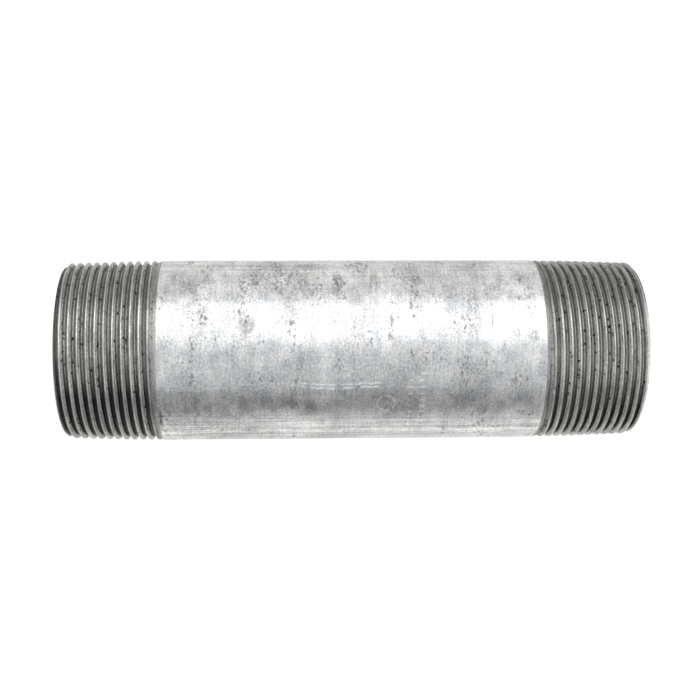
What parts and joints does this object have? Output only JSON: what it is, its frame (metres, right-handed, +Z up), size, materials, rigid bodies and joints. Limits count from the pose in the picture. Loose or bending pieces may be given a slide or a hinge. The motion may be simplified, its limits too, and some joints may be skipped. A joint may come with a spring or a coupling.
{
  "type": "pipe nipple",
  "caption": "Straight galvanised steel pipe nipple: a smooth zinc-coated barrel with a bare tapered pipe thread cut on each end and an open bore.",
  "frame": {"origin": "middle of the pipe, on its axis", "axes": "+X along the pipe's axis, towards the thread that is on the right when the pipe is seen from above with +Y up the page; +Z up, the pipe lying on its side on a floor at z = -24.21 mm"},
  "size_m": [0.1524, 0.0484, 0.0484],
  "materials": {
    "cut_steel": "bare machined steel, thread-cutting marks, satin",
    "weld_steel": "scarfed weld metal, rough",
    "zinc_outside": "hot-dip galvanised zinc, smooth and lightly scuffed",
    "zinc_inside": "hot-dip galvanised zinc, dull and lumpy"
  },
  "bodies": {
    "root": {"steel_pipe": "cut_steel", "weld_bead": "weld_steel", "barrel_zinc": "zinc_outside", "bore_zinc": "zinc_inside"}
  },
  "joints": []
}
